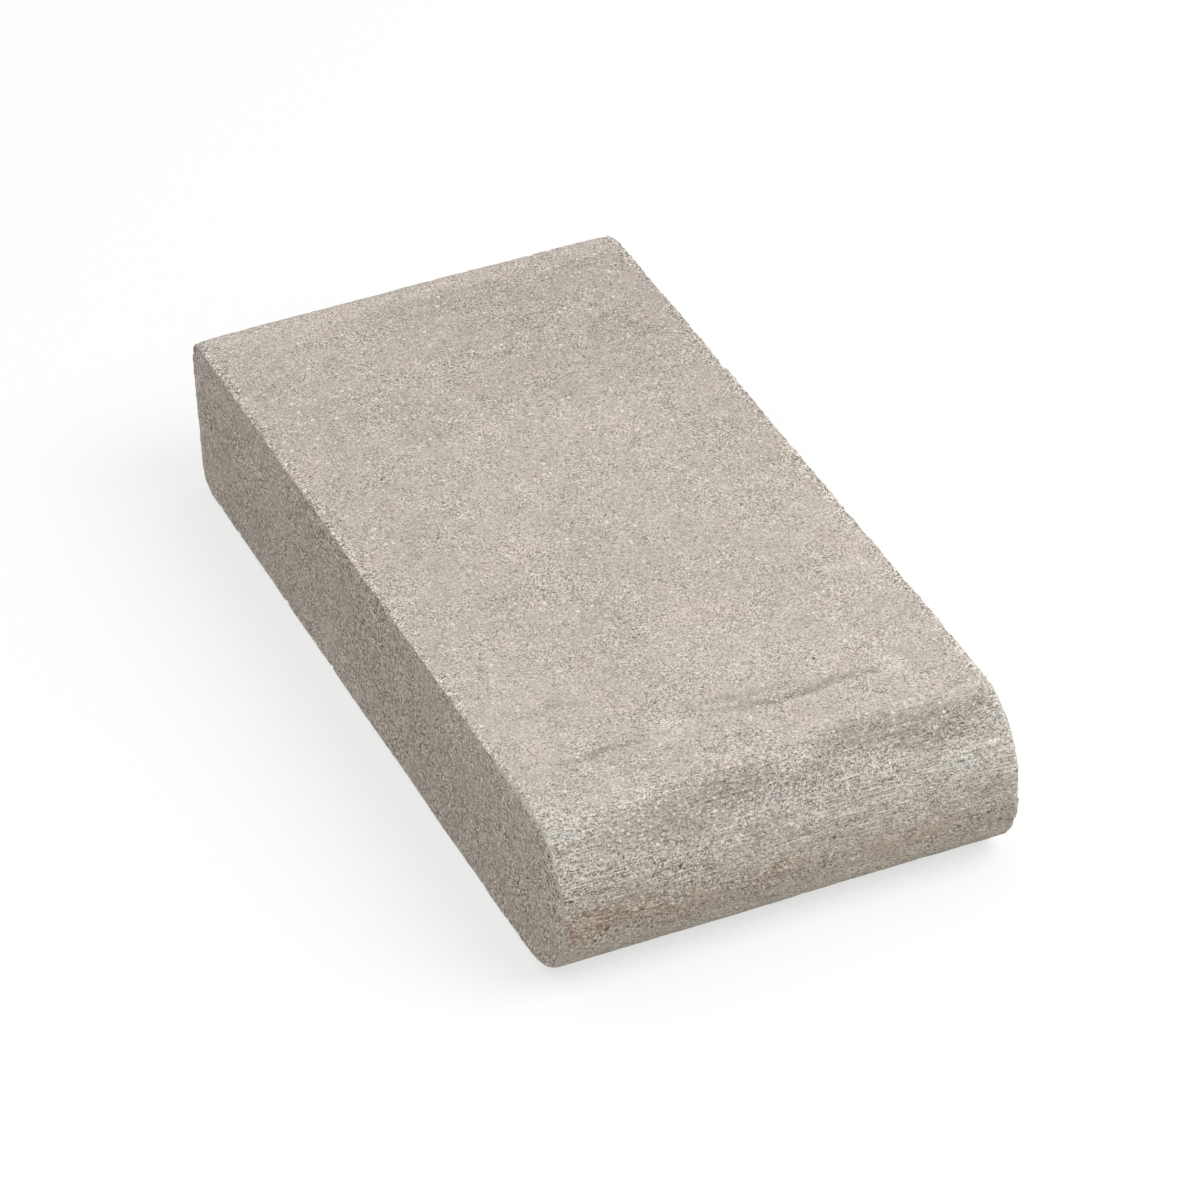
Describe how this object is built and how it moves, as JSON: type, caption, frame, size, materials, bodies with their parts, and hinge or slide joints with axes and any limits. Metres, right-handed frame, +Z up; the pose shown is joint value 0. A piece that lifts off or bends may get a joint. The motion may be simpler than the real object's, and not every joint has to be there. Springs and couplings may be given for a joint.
{
  "type": "coping stone",
  "caption": "Bullnose coping stone of pressed concrete with a rounded front, a flat top and square sides, laid along the edge of a pool, step or low wall",
  "frame": {"origin": "middle of the bed, below the centre of the block", "axes": "+Z up from the bed; +Y along the length, from the round nose to the square back; +X across the width, from side face to side face"},
  "size_m": [0.146, 0.304, 0.057],
  "materials": {
    "concrete": "warm light grey pressed concrete with a sandy grain, small pits and ragged side arrises"
  },
  "bodies": {
    "root": {"coping_stone": "concrete"}
  },
  "joints": []
}
